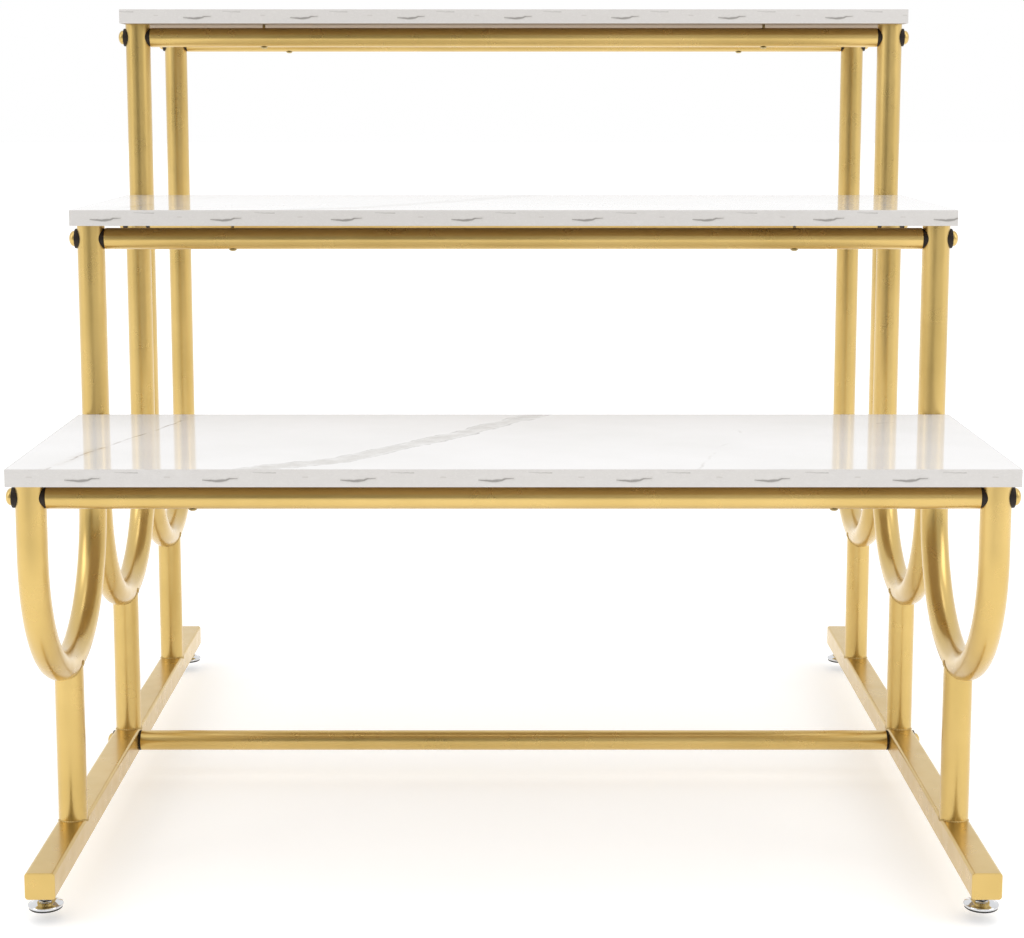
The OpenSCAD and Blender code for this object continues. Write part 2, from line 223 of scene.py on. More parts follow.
class Recipe:
    """Builds one material's nodes. Numbers and sockets can be mixed freely in its calls."""

    def __init__(self, name):
        self.material = bpy.data.materials.new(name)
        self.material.use_nodes = True
        self.tree = self.material.node_tree
        self.shader = self.tree.nodes["Principled BSDF"]
        coordinates = self.add("ShaderNodeTexCoord")
        self.place = coordinates.outputs["Object"]
        self.facing = coordinates.outputs["Normal"]

    def add(self, kind, **settings):
        node = self.tree.nodes.new(kind)
        for key, value in settings.items():
            setattr(node, key, value)
        return node

    def feed(self, socket, value):
        if isinstance(value, bpy.types.NodeSocket):
            self.tree.links.new(value, socket)
        else:
            socket.default_value = value

    def math(self, operation, a, b=0.0, c=0.0):
        node = self.add("ShaderNodeMath", operation=operation)
        for socket, value in zip(node.inputs, (a, b, c)):
            self.feed(socket, value)
        return node.outputs[0]

    def vector(self, operation, a, b=(0, 0, 0), output=0):
        node = self.add("ShaderNodeVectorMath", operation=operation)
        self.feed(node.inputs[0], a)
        self.feed(node.inputs[1], b)
        return node.outputs[output]

    def scaled(self, vector, share):
        node = self.add("ShaderNodeVectorMath", operation="SCALE")
        self.feed(node.inputs[0], vector)
        self.feed(node.inputs["Scale"], share)
        return node.outputs[0]

    def split(self, vector):
        node = self.add("ShaderNodeSeparateXYZ")
        self.feed(node.inputs[0], vector)
        return node.outputs

    def combine(self, x, y, z):
        node = self.add("ShaderNodeCombineXYZ")
        for socket, value in zip(node.inputs, (x, y, z)):
            self.feed(socket, value)
        return node.outputs[0]

    def stretched(self, vector, x, y, z):
        node = self.add("ShaderNodeMapping", vector_type="POINT")
        self.feed(node.inputs["Vector"], vector)
        node.inputs["Scale"].default_value = (x, y, z)
        return node.outputs[0]

    def noise(self, vector, scale, detail=4.0, roughness=0.5, colour=False):
        node = self.add("ShaderNodeTexNoise")
        self.feed(node.inputs["Vector"], vector)
        node.inputs["Scale"].default_value = scale
        node.inputs["Detail"].default_value = detail
        node.inputs["Roughness"].default_value = roughness
        return node.outputs[1 if colour else 0]

    def spread(self, value, low, high, to_low=0.0, to_high=1.0, smooth=False):
        kind = "SMOOTHSTEP" if smooth else "LINEAR"
        node = self.add("ShaderNodeMapRange", interpolation_type=kind)
        for socket, item in zip(node.inputs, (value, low, high, to_low, to_high)):
            self.feed(socket, item)
        return node.outputs[0]

    def blend(self, share, first, second):
        node = self.add("ShaderNodeMix", data_type="RGBA")
        self.feed(node.inputs[0], share)
        for socket, colour in zip(node.inputs[6:8], (first, second)):
            self.feed(socket, (*colour, 1) if isinstance(colour, tuple) else colour)
        return node.outputs[2]

    def bump(self, height, strength, distance):
        node = self.add("ShaderNodeBump")
        node.inputs["Strength"].default_value = strength
        node.inputs["Distance"].default_value = distance
        self.feed(node.inputs["Height"], height)
        self.feed(self.shader.inputs["Normal"], node.outputs[0])

    def wandered(self, vector, scale, reach, detail=5.0):
        """The same place pushed about by noise, by up to the reach."""
        drift = self.noise(vector, scale, detail, colour=True)
        push = self.vector("SUBTRACT", drift, (0.5, 0.5, 0.5))
        return self.vector("ADD", vector, self.scaled(push, 2 * reach))

    def distance_to(self, place, run):
        """How far a place is from a run of straight strokes through the given points."""
        nearest = None
        for start, end in zip(run, run[1:]):
            start, end = Vector((*start, 0)), Vector((*end, 0))
            length = (end - start).length
            way = tuple((end - start) / length)
            off = self.vector("SUBTRACT", place, tuple(start))
            reached = self.vector("DOT_PRODUCT", off, way, output=1)
            held = self.spread(reached, 0.0, length, 0.0, length)
            gap = self.vector("DISTANCE", off, self.scaled(way, held), output=1)
            nearest = gap if nearest is None else self.math("MINIMUM", nearest, gap)
        return nearest

    def line(self, distance, width):
        """1 on the line, fading to 0 at its half width."""
        return self.spread(distance, 0.0, width, 1.0, 0.0, smooth=True)

    def made(self, **values):
        for key, value in values.items():
            if isinstance(value, tuple):
                value = (*value, 1)
            self.feed(self.shader.inputs[key.replace("_", " ")], value)
        return self.material


def gold_lacquer():
    """Satin gold lacquer on steel tube: slow drift of colour and the faintest orange peel."""
    r = Recipe("satin_gold_lacquer")
    drift = r.noise(r.place, 9.0, 3.0)
    peel = r.noise(r.place, 140.0, 2.0)
    rubbed = r.noise(r.place, 45.0, 2.0, 0.5)
    colour = r.blend(r.spread(drift, 0.35, 0.65), (0.61, 0.425, 0.135), (0.68, 0.48, 0.165))
    rough = r.spread(rubbed, 0.3, 0.7, 0.26, 0.34)
    r.bump(peel, 0.05, 0.1 * MM)
    return r.made(Base_Color=colour, Metallic=0.96, Roughness=rough, Coat_Weight=0.4,
                  Coat_Roughness=0.12)


def weld_gold():
    """The same lacquer over a weld: a little darker and duller in the ripples."""
    r = Recipe("lacquered_weld")
    scale = r.noise(r.place, 160.0, 5.0, 0.65)
    colour = r.blend(r.spread(scale, 0.35, 0.65), (0.46, 0.32, 0.11), (0.60, 0.43, 0.17))
    r.bump(scale, 0.3, 0.3 * MM)
    return r.made(Base_Color=colour, Metallic=0.9, Roughness=r.spread(scale, 0.3, 0.7, 0.32, 0.5))


def stone_top(name, front):
    """Glossy white stone-look laminate: one broad grey band, fine brown veins, faint clouds."""
    r = Recipe(name)
    here = r.vector("SUBTRACT", r.place, (0, front, 0))
    x, y, z = r.split(here)
    flat = r.combine(x, y, 0.0)
    loose = r.wandered(flat, 9.0, 11 * MM)
    fine = r.wandered(loose, 55.0, 2.2 * MM, 6.0)
    clouds = r.noise(flat, 6.0, 6.0, 0.55)
    grain = r.noise(flat, 42.0, 7.0, 0.68)
    patches = r.noise(flat, 21.0, 5.0, 0.6)

    band = r.distance_to(fine, BAND_VEIN)
    width = r.spread(patches, 0.35, 0.65, 8 * MM, 15 * MM)
    inside = r.spread(r.math("SUBTRACT", band, width), -6 * MM, 2 * MM, 1.0, 0.0, smooth=True)
    inside = r.math("MULTIPLY", inside, r.spread(grain, 0.38, 0.62, 0.45, 1.0))
    rim = r.line(r.math("ABSOLUTE", r.math("SUBTRACT", band, width)), 2.6 * MM)
    rim = r.math("MULTIPLY", rim, r.spread(grain, 0.38, 0.62, 0.1, 1.0))

    brown = r.distance_to(fine, BROWN_VEIN)
    thread = r.math("MULTIPLY", r.line(brown, 2.4 * MM), r.spread(grain, 0.42, 0.60, 0.35, 1.0))
    haze = r.math("MULTIPLY", r.line(brown, 12 * MM), r.spread(patches, 0.45, 0.65, 0.0, 0.55))
    faint = r.distance_to(fine, FAINT_VEIN)
    whisper = r.math("MULTIPLY", r.line(faint, 2.6 * MM), r.spread(grain, 0.40, 0.60, 0.1, 0.75))
    dash = r.line(r.distance_to(fine, SHORT_VEIN), 1.6 * MM)

    cloudy = r.spread(clouds, 0.38, 0.66, 0.0, 0.8)
    colour = r.blend(cloudy, (0.78, 0.77, 0.77), (0.715, 0.705, 0.695))
    steps = (
        (inside, 0.80, (0.46, 0.435, 0.40)),
        (rim, 0.62, (0.24, 0.215, 0.19)),
        (haze, 0.70, (0.46, 0.40, 0.33)),
        (thread, 0.75, (0.23, 0.175, 0.12)),
        (whisper, 0.55, (0.34, 0.30, 0.26)),
        (dash, 0.65, (0.18, 0.17, 0.155)),
    )
    for share, most, tint in steps:
        colour = r.blend(r.math("MULTIPLY", share, most), colour, tint)
    r.bump(r.noise(flat, 260.0, 2.0), 0.015, 0.1 * MM)
    return r.made(Base_Color=colour, Roughness=r.spread(grain, 0.3, 0.7, 0.045, 0.075),
                  Specular_IOR_Level=0.22)


def stone_edge(name, first_stroke, under):
    """Edge band with its printed stroke, dash and dot, which come again at every repeat."""
    r = Recipe(name)
    x, y, z = r.split(r.place)
    sideways = r.split(r.facing)[0]
    on_end = r.math("GREATER_THAN", r.math("ABSOLUTE", sideways), 0.7)
    on_front = r.math("SUBTRACT", 1.0, on_end)
    run = r.math("ADD", r.math("MULTIPLY", y, on_end), r.math("MULTIPLY", x, on_front))
    run = r.math("FLOORED_MODULO", r.math("SUBTRACT", run, first_stroke), PRINT_REPEAT)
    height = r.math("SUBTRACT", z, under)
    sheet = r.combine(run, height, 0.0)
    smeared = r.wandered(sheet, 160.0, 0.7 * MM, 4.0)
    grain = r.noise(r.stretched(r.place, 1.0, 1.0, 2.0), 130.0, 6.0, 0.7)

    stroke_gap = r.distance_to(smeared, PRINT_STROKE)
    from_belly = r.math("ABSOLUTE", r.math("SUBTRACT", run, 15 * MM))
    swell = r.spread(from_belly, 2 * MM, 16 * MM, 1.3 * MM, 0.3 * MM)
    stroke = r.spread(r.math("DIVIDE", stroke_gap, swell), 0.45, 1.25, 1.0, 0.0, smooth=True)
    shadow = r.line(stroke_gap, 2.9 * MM)
    dash = r.line(r.distance_to(smeared, PRINT_DASH), 0.75 * MM)
    dash = r.math("MULTIPLY", dash, r.spread(run, PRINT_DASH[0][0], PRINT_DASH[-1][0], 0.35, 1.0))
    dot = r.line(r.distance_to(smeared, PRINT_DOT), 1.1 * MM)

    colour = r.blend(r.spread(grain, 0.3, 0.7), (0.61, 0.59, 0.57), (0.56, 0.54, 0.52))
    steps = (
        (shadow, 0.36, (0.42, 0.40, 0.37)),
        (stroke, 0.76, (0.20, 0.19, 0.175)),
        (dash, 0.76, (0.24, 0.23, 0.21)),
        (dot, 0.42, (0.38, 0.35, 0.32)),
    )
    for share, most, tint in steps:
        colour = r.blend(r.math("MULTIPLY", share, most), colour, tint)
    r.bump(grain, 0.04, 0.1 * MM)
    return r.made(Base_Color=colour, Roughness=r.spread(grain, 0.3, 0.7, 0.22, 0.30))


def shade_dark_backing():
    """Backing laminate under the boards, dark brown with a fine speckle; the dark brown is painted shade
    under each board.
    """
    r = Recipe("shade_dark_backing_laminate")
    speckle = r.noise(r.place, 320.0, 3.0, 0.6)
    cloud = r.noise(r.place, 7.0, 4.0)
    # The dark brown tones are painted shade: they darken each board's underside and the gap above each
    # rail.
    colour = r.blend(r.spread(speckle, 0.3, 0.7), (0.42, 0.34, 0.26), (0.37, 0.295, 0.22))
    colour = r.blend(r.spread(cloud, 0.4, 0.7, 0.0, 0.35), colour, (0.33, 0.26, 0.19))
    r.bump(speckle, 0.12, 0.1 * MM)
    return r.made(Base_Color=colour, Roughness=r.spread(speckle, 0.3, 0.7, 0.78, 0.88),
                  Specular_IOR_Level=0.1)


def fibreboard():
    """Pressed wood fibre, with short fibres lying flat."""
    r = Recipe("pressed_fibreboard")
    fibre = r.noise(r.stretched(r.place, 1.0, 1.0, 4.0), 420.0, 5.0, 0.7)
    colour = r.blend(r.spread(fibre, 0.3, 0.7), (0.36, 0.23, 0.12), (0.23, 0.135, 0.065))
    r.bump(fibre, 0.4, 0.3 * MM)
    return r.made(Base_Color=colour, Roughness=r.spread(fibre, 0.3, 0.7, 0.75, 0.9))


def moulded_black():
    """Moulded black nylon with a fine spark texture."""
    r = Recipe("moulded_black_nylon")
    spark = r.noise(r.place, 1500.0, 2.0, 0.6)
    tone = r.noise(r.place, 60.0, 4.0)
    colour = r.blend(r.spread(tone, 0.35, 0.65), (0.016, 0.010, 0.006), (0.026, 0.017, 0.010))
    r.bump(spark, 0.25, 0.1 * MM)
    return r.made(Base_Color=colour, Roughness=r.spread(spark, 0.3, 0.7, 0.42, 0.54),
                  Specular_IOR_Level=0.25)


def zinc():
    """Bright zinc plate with faint spangle and lathe marks."""
    r = Recipe("bright_zinc_plate")
    spangle = r.noise(r.place, 260.0, 4.0, 0.65)
    marks = r.noise(r.stretched(r.place, 1.0, 1.0, 14.0), 300.0, 3.0)
    colour = r.blend(r.spread(spangle, 0.35, 0.65), (0.56, 0.57, 0.59), (0.68, 0.68, 0.69))
    r.bump(marks, 0.2, 0.1 * MM)
    return r.made(Base_Color=colour, Metallic=1.0, Roughness=r.spread(spangle, 0.3, 0.7, 0.22, 0.36))


def yellow_zinc():
    """Yellow-passivated zinc on the board screws, with a faint drift towards green."""
    r = Recipe("yellow_passivated_zinc")
    drift = r.noise(r.place, 120.0, 4.0, 0.6)
    colour = r.blend(r.spread(drift, 0.35, 0.65), (0.50, 0.37, 0.15), (0.46, 0.39, 0.20))
    r.bump(drift, 0.1, 0.1 * MM)
    return r.made(Base_Color=colour, Metallic=1.0, Roughness=r.spread(drift, 0.3, 0.7, 0.26, 0.38))


def chrome():
    """Polished chrome, with hairline rubbing that shows only in its shine."""
    r = Recipe("polished_chrome")
    hair = r.noise(r.stretched(r.place, 3.0, 1.0, 1.0), 500.0, 5.0, 0.7)
    film = r.noise(r.place, 40.0, 3.0)
    colour = r.blend(r.spread(film, 0.35, 0.65), (0.74, 0.75, 0.77), (0.66, 0.67, 0.69))
    return r.made(Base_Color=colour, Metallic=1.0, Roughness=r.spread(hair, 0.35, 0.7, 0.06, 0.14))


def rubber():
    """Matt black rubber, dusted at random."""
    r = Recipe("black_rubber")
    dust = r.noise(r.place, 200.0, 6.0, 0.75)
    colour = r.blend(r.spread(dust, 0.4, 0.75), (0.014, 0.014, 0.014), (0.045, 0.043, 0.040))
    r.bump(dust, 0.3, 0.2 * MM)
    return r.made(Base_Color=colour, Roughness=r.spread(dust, 0.3, 0.7, 0.62, 0.8))


# Runs of the veins over a board: (across from its middle, back from its front edge).
BAND_VEIN = [(-0.236, -0.004), (-0.153, 0.050), (-0.056, 0.191), (0.031, 0.326)]
BROWN_VEIN = [(-0.412, -0.004), (-0.392, 0.087), (-0.357, 0.204), (-0.325, 0.326)]
FAINT_VEIN = [(0.166, -0.004), (0.189, 0.109), (0.224, 0.186), (0.214, 0.326)]
SHORT_VEIN = [(0.368, 0.258), (0.384, 0.264)]
# The edge print's strokes: (along the edge from the stroke's start, up from the band's foot).
PRINT_REPEAT = 122 * MM
PRINT_STROKE = [(0.0, 6.4 * MM), (12 * MM, 5.6 * MM), (21 * MM, 6.2 * MM), (24 * MM, 7.6 * MM),
                (31 * MM, 7.9 * MM)]
PRINT_DASH = [(45 * MM, 13.4 * MM), (65 * MM, 12.8 * MM)]
PRINT_DOT = [(89 * MM, 8.9 * MM), (93 * MM, 8.7 * MM)]
# From each band's left end to the start of its first stroke.
FIRST_STROKE = {"lower": 53 * MM, "middle": 21 * MM, "top": 73 * MM}

LOOKS = {
    "gold_metal": gold_lacquer(),
    "fibreboard": fibreboard(),
    "black_plastic": moulded_black(),
    "zinc_plated_steel": zinc(),
    "chrome": chrome(),
    "rubber": rubber(),
}
WELD = weld_gold()
# The dark backing is painted shade under the boards.
SHADE_DARK_BACKING = shade_dark_backing()

# ---- Places, worked out from the CAD model ---------------------------------------------------

boxes = {name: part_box(name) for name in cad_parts}


def middle_of(name):
    low, high = boxes[name]
    return (low + high) / 2


TUBE_R = (boxes["left_lower_u_tube"][1].x - boxes["left_lower_u_tube"][0].x) / 2
TUBE_WALL = 1.2 * MM
POST_X = middle_of("right_lower_u_tube").x
RAIL_R = (boxes["lower_front_rail"][1].z - boxes["lower_front_rail"][0].z) / 2
BOLT_HOLE_R = 3.3 * MM
BOLT_LENGTH = 52 * MM
BEAD_R = 1.5 * MM
SEAM_R = 1.1 * MM


def loop_places(tier):
    """Front limb's Y, rear limb's Y, the bend's middle height and the limbs' top for one loop."""
    low, high = boxes[f"left_{tier}_u_tube"]
    front, rear = low.y + TUBE_R, high.y - TUBE_R
    return front, rear, low.z + TUBE_R + (rear - front) / 2, high.z


def rail_height(tier):
    return middle_of(f"{tier}_front_rail").z


def limb_y(tier, end):
    front, rear, bend, top = loop_places(tier)
    return front if end == "front" else rear


# ---- Camera, light and floor -----------------------------------------------------------------

camera_data = bpy.data.cameras.new("camera")
camera_data.lens = 73.5
camera_data.shift_x = -0.003
camera_data.shift_y = -0.085
camera = bpy.data.objects.new("camera", camera_data)
bpy.context.scene.collection.objects.link(camera)
camera.location = (1.5 * MM, -2278 * MM, 750 * MM)
camera.rotation_euler = (math.radians(90 - 7.86), 0, 0)
bpy.context.scene.camera = camera

# The floor lies just below the feet's furthest reach, so that it hides no foot that is screwed out.
FOOT_REACH = 12 * MM
deselect()
bpy.ops.mesh.primitive_plane_add(size=60, location=(0, 0, -FOOT_REACH - 0.1 * MM))
floor = bpy.context.object
floor.name = "studio_floor"
floor_look = Recipe("pale_floor")
floor_tone = floor_look.noise(floor_look.place, 3.0, 3.0)
floor.data.materials.append(floor_look.made(
    Base_Color=floor_look.blend(floor_tone, (0.80, 0.80, 0.80), (0.82, 0.82, 0.82)),
    Roughness=floor_look.spread(floor_tone, 0.3, 0.7, 0.7, 0.8),
    Emission_Color=(1.0, 1.0, 1.0), Emission_Strength=0.35))

world = bpy.data.worlds.new("studio")
world.use_nodes = True
world.node_tree.nodes["Background"].inputs["Color"].default_value = (1, 1, 1, 1)
world.node_tree.nodes["Background"].inputs["Strength"].default_value = 1.0
bpy.context.scene.world = world
bpy.context.scene.view_settings.view_transform = "Standard"


def softbox(name, place, aim, width, height, power):
    """A large soft area light."""
    data = bpy.data.lights.new(name, "AREA")
    data.shape = "RECTANGLE"
    data.size = width
    data.size_y = height
    data.energy = power
    lamp = bpy.data.objects.new(name, data)
    bpy.context.scene.collection.objects.link(lamp)
    lamp.location = place
    lamp.rotation_euler = (Vector(aim) - Vector(place)).to_track_quat("-Z", "Y").to_euler()
    lamp.visible_camera = False


softbox("soft_right", (3.2, -1.6, 2.2), (0, 0, 0.4), 1.6, 2.2, 22)
softbox("soft_left", (-3.2, -1.6, 2.2), (0, 0, 0.4), 1.6, 2.2, 18)
softbox("soft_top", (0, -0.6, 3.4), (0, 0, 0.4), 2.6, 1.8, 16)


def grey_card(name, low, high, tone):
    """A cloth card behind the camera, seen only in shiny metal, where it makes a darker stripe."""
    card = block(low, high)
    card.name = name
    look = Recipe(name + "_cloth")
    weave = look.noise(look.place, 80.0, 3.0)
    card.data.materials.append(look.made(
        Base_Color=look.blend(weave, (tone, tone, tone), (tone + 0.03, tone + 0.03, tone + 0.03)),
        Roughness=0.9))
    card.visible_camera = False
    card.visible_shadow = False
    card.visible_diffuse = False


grey_card("broad_card", (-5.2, -3.22, 0.02), (7.0, -3.2, 3.0), 0.50)
grey_card("narrow_card", (-1.7, -3.12, 0.02), (0.1, -3.1, 3.0), 0.20)

# ---- Side frames -----------------------------------------------------------------------------


def u_path(x, tier, radius, closed):
    """A tube skin that runs down the front limb, round the bend and up the rear limb."""
    front, rear, bend, top = loop_places(tier)
    deselect()
    bpy.ops.mesh.primitive_circle_add(
        vertices=64, radius=radius, fill_type="NGON" if closed else "NOTHING",
        location=(x, front, top))
    piece = settle(bpy.context.object)
    bpy.ops.object.mode_set(mode="EDIT")
    bpy.ops.mesh.select_mode(type="EDGE")
    bpy.ops.mesh.select_all(action="SELECT")
    if closed:
        bpy.ops.mesh.delete(type="ONLY_FACE")
        bpy.ops.mesh.select_all(action="SELECT")
    bpy.ops.mesh.extrude_edges_move(TRANSFORM_OT_translate={"value": (0, 0, bend - top)})
    bpy.ops.mesh.spin(
        steps=56, angle=math.pi, center=(x, (front + rear) / 2, bend), axis=(-1, 0, 0))
    bpy.ops.mesh.extrude_edges_move(TRANSFORM_OT_translate={"value": (0, 0, top - bend)})
    if closed:
        pick(piece, "edges", lambda edge, middle: abs(middle.z - top) < 0.01 * MM)
        bpy.ops.mesh.edge_face_add()
    close_up(piece)
    return piece


def base_outline(low, high, corner):
    """A bar along Y with its four long edges rounded."""
    bar = block(low, high)
    return soften(bar, lambda edge, middle: along(edge, 1), corner, 6)


for tier in TIERS:
    tube = u_path(-POST_X, tier, TUBE_R, closed=False)
    apply_modifier(tube, "SOLIDIFY", thickness=TUBE_WALL, offset=-1, use_even_offset=True)
    for end in ENDS:
        bolt_at = (-POST_X, limb_y(tier, end), rail_height(tier))
        cut(tube, rod(BOLT_HOLE_R, 4 * TUBE_R, bolt_at, "X", 32))
    other = copy_of(tube, (2 * POST_X, 0, 0))
    finish_piece(tube, f"left_{tier}_bent_tube", BODY, "gold_metal", f"left_{tier}_u_tube")
    finish_piece(other, f"right_{tier}_bent_tube", BODY, "gold_metal", f"right_{tier}_u_tube")

BASE_LOW, BASE_HIGH = boxes["left_base_tube"]
BASE_CORNER = 3 * MM
BASE_WALL = 1.5 * MM
NUT_HOLE_R = 5.6 * MM
BASE_TOP = BASE_HIGH.z

bar = base_outline(BASE_LOW, BASE_HIGH, BASE_CORNER)
pick(bar, "faces", lambda face, middle: abs(face.normal.y) > 0.9)
bpy.ops.mesh.delete(type="FACE")
apply_modifier(bar, "SOLIDIFY", thickness=BASE_WALL, offset=-1, use_even_offset=True)
for end in ENDS:
    foot = middle_of(f"left_{end}_foot_stud")
    cut(bar, rod(NUT_HOLE_R, 8 * MM, (foot.x, foot.y, BASE_LOW.z), facets=32))
stretcher = middle_of("base_stretcher")
cut(bar, rod(BOLT_HOLE_R, 4 * TUBE_R, (-POST_X, stretcher.y, stretcher.z), "X", 32))
other = copy_of(bar, (2 * POST_X, 0, 0))
finish_piece(bar, "left_floor_bar", BODY, "gold_metal", "left_base_tube", flat_faces=True)
finish_piece(other, "right_floor_bar", BODY, "gold_metal", "right_base_tube", flat_faces=True)

cap_low, cap_high = boxes["left_base_front_end_cap"]
plate = base_outline(cap_low, cap_high, BASE_CORNER)
soften(plate, lambda edge, middle: abs(middle.y - cap_low.y) < 0.01 * MM, 0.7 * MM, 4)
for side, sx in SIDES.items():
    for end in ENDS:
        centre = middle_of(f"{side}_base_{end}_end_cap")
        start = middle_of("left_base_front_end_cap")
        back = end == "rear"
        shift = centre + start if back else centre - start
        shift.z = 0
        twin = copy_of(plate, shift, half_turn=back)
        finish_piece(twin, f"{side}_{end}_end_plate", BODY, "gold_metal", f"{side}_base_{end}_end_cap",
                     flat_faces=True)
bpy.data.objects.remove(plate)

# Short posts, coped under the bend and round the floor bar's corners.
front, rear, bend, top = loop_places("lower")
post_y = (front + rear) / 2
post_low, post_high = boxes["left_front_short_post"]
post_top = post_high.z + 1 * MM
post = rod(TUBE_R, post_top - post_low.z, (-POST_X, post_y, (post_top + post_low.z) / 2))
cut(post, rod(TUBE_R - TUBE_WALL, 1.0, (-POST_X, post_y, 0)))
cut(post, u_path(-POST_X, "lower", TUBE_R, closed=True))
cut(post, base_outline(BASE_LOW, BASE_HIGH, BASE_CORNER))
close_up(post)


def ring_bead(ring_r, bead_r, height_at):
    """A rippled weld bead round a post, lying at the height that each place round it asks for."""
    deselect()
    bpy.ops.mesh.primitive_torus_add(
        major_segments=144, minor_segments=12, major_radius=ring_r, minor_radius=bead_r,
        location=(0, 0, 0))
    ring = settle(bpy.context.object)
    for vertex in ring.data.vertices:
        x, y, z = vertex.co
        turn = math.atan2(y, x)
        ripple = 1 + 0.16 * math.sin(36 * turn) + 0.06 * math.sin(7 * turn + 1)
        out = math.hypot(x, y)
        near = ring_r + (out - ring_r) * ripple
        at_x, at_y = TUBE_R * math.cos(turn), TUBE_R * math.sin(turn)
        height = z * ripple + height_at(at_x, at_y)
        vertex.co = (near * math.cos(turn), near * math.sin(turn), height)
    return ring


def under_bend(x, y):
    """Height of the bend's underside over a place near its lowest point."""
    reach = (rear - front) / 2 + math.sqrt(max(TUBE_R**2 - x * x, 0))
    return bend - math.sqrt(reach**2 - y * y)


def over_bar(x, y):
    """Height of the floor bar's top and rounded corner."""
    over = max(abs(x) - (TUBE_R - BASE_CORNER), 0)
    return BASE_TOP - BASE_CORNER + math.sqrt(max(BASE_CORNER**2 - over**2, 0))


bead_low = ring_bead(TUBE_R - 0.4 * MM, SEAM_R, over_bar)
bead_high = ring_bead(TUBE_R - 0.6 * MM, BEAD_R, under_bend)
for side, sx in SIDES.items():
    for place, tier in LOOP_OF_POST.items():
        near, far = loop_places(tier)[:2]
        at = Vector((sx * POST_X, (near + far) / 2, 0))
        twin = copy_of(post, at - Vector((-POST_X, post_y, 0)))
        finish_piece(twin, f"{side}_{place}_post", BODY, "gold_metal", f"{side}_{place}_short_post")
        for bead, weld in ((bead_low, "floor_weld"), (bead_high, "bend_weld")):
            finish_piece(copy_of(bead, at), f"{side}_{place}_{weld}", BODY, "gold_metal", look=WELD,
                         smooth_degrees=60)
for spare in (post, bead_low, bead_high):
    bpy.data.objects.remove(spare)

# Stitch welds in the groove between neighbouring limbs.
STITCH_LENGTH = 22 * MM
STITCH_R = 2.6 * MM
stitch = rod(STITCH_R, STITCH_LENGTH, (0, 0, 0), facets=20)
pick(stitch, "edges", lambda edge, middle: along(edge, 2))
bpy.ops.mesh.subdivide(number_cuts=35)
hold(stitch)
for vertex in stitch.data.vertices:
    share = 2 * abs(vertex.co.z) / STITCH_LENGTH
    full = math.sqrt(max(1 - share**4, 0.0)) * (0.9 + 0.1 * math.sin(vertex.co.z / MM * 2.9))
    vertex.co.x *= 0.15 + 0.85 * full
    vertex.co.y *= 0.15 + 0.85 * full
for side, sx in SIDES.items():
    for first, second in (("lower", "middle"), ("middle", "top")):
        groove_y = (limb_y(first, "rear") + limb_y(second, "front")) / 2
        low_z, high_z = loop_places(first)[2], loop_places(first)[3]
        beads = []
        for level in (0.25, 0.7):
            for face in (-1, 1):
                spot = (sx * POST_X + face * 5.2 * MM, groove_y, low_z + level * (high_z - low_z))
                beads.append(copy_of(stitch, spot))
        finish_piece(join(beads), f"{side}_{first}_{second}_stitch_welds", BODY, "gold_metal", look=WELD,
                     smooth_degrees=60)
bpy.data.objects.remove(stitch)

# ---- Rails -----------------------------------------------------------------------------------

RAIL_WALL = 1.2 * MM
RIM_SOFT = 1.0 * MM
SCREW_X = 289 * MM
SCREW_HOLE_R = 2.3 * MM


def make_rail(name, screwed):
    """A round rail: open tube with its wall, softened rims and, under a board, its screw holes."""
    low, high = boxes[name]
    centre = (low + high) / 2
    rail = rod(RAIL_R, high.x - low.x, centre, "X", 64, caps="NOTHING")
    apply_modifier(rail, "SOLIDIFY", thickness=RAIL_WALL, offset=-1, use_even_offset=True)
    if screwed:
        for x in (-SCREW_X, SCREW_X):
            cut(rail, rod(SCREW_HOLE_R, 4 * RAIL_R, (x, centre.y, centre.z), facets=24))

    def outer_rim(edge, middle):
        radii = [math.hypot(v.co.y - centre.y, v.co.z - centre.z) for v in edge.verts]
        at_end = all(abs(abs(v.co.x - centre.x) - (high.x - low.x) / 2) < 0.01 * MM for v in edge.verts)
        return at_end and min(radii) > RAIL_R - 0.05 * MM

    return soften(rail, outer_rim, RIM_SOFT, 4)


rail = make_rail("lower_front_rail", screwed=True)
for tier in TIERS:
    for end in ENDS:
        node = f"{tier}_{end}_rail"
        twin = copy_of(rail, middle_of(node) - middle_of("lower_front_rail"))
        finish_piece(twin, f"{tier}_{end}_round_rail", BODY, "gold_metal", node)
bpy.data.objects.remove(rail)
finish_piece(make_rail("base_stretcher", screwed=False), "base_round_stretcher", BODY, "gold_metal",
             "base_stretcher")

# ---- Fasteners at the rails' ends ------------------------------------------------------------

RAIL_END = boxes["lower_front_rail"][1].x
WASHER_FACE = boxes["saddle_washers"][1].x
SADDLE_R = RAIL_R - 0.8 * MM
SADDLE_FIT = 0.05 * MM
SOCKET_R = 2.31 * MM
HEAD_H = boxes["shelf_rail_bolts"][1].x - WASHER_FACE


def saddle(inner_x, outer_x):
    """A black washer whose one face is hollowed to sit on the round limb."""
    disc = rod(SADDLE_R, outer_x - inner_x, ((inner_x + outer_x) / 2, 0, 0), "X", 64)
    flat_x = inner_x if abs(inner_x - POST_X) > abs(outer_x - POST_X) else outer_x
    soften(disc, lambda edge, middle: abs(edge.verts[0].co.x - flat_x) < 0.01 * MM
           and abs(edge.verts[1].co.x - flat_x) < 0.01 * MM, 0.45 * MM, 3)
    cut(disc, rod(TUBE_R + SADDLE_FIT, 4 * TUBE_R, (POST_X, 0, 0), facets=128))
    return cut(disc, rod(BOLT_HOLE_R, 0.2, (POST_X, 0, 0), "X", 32))


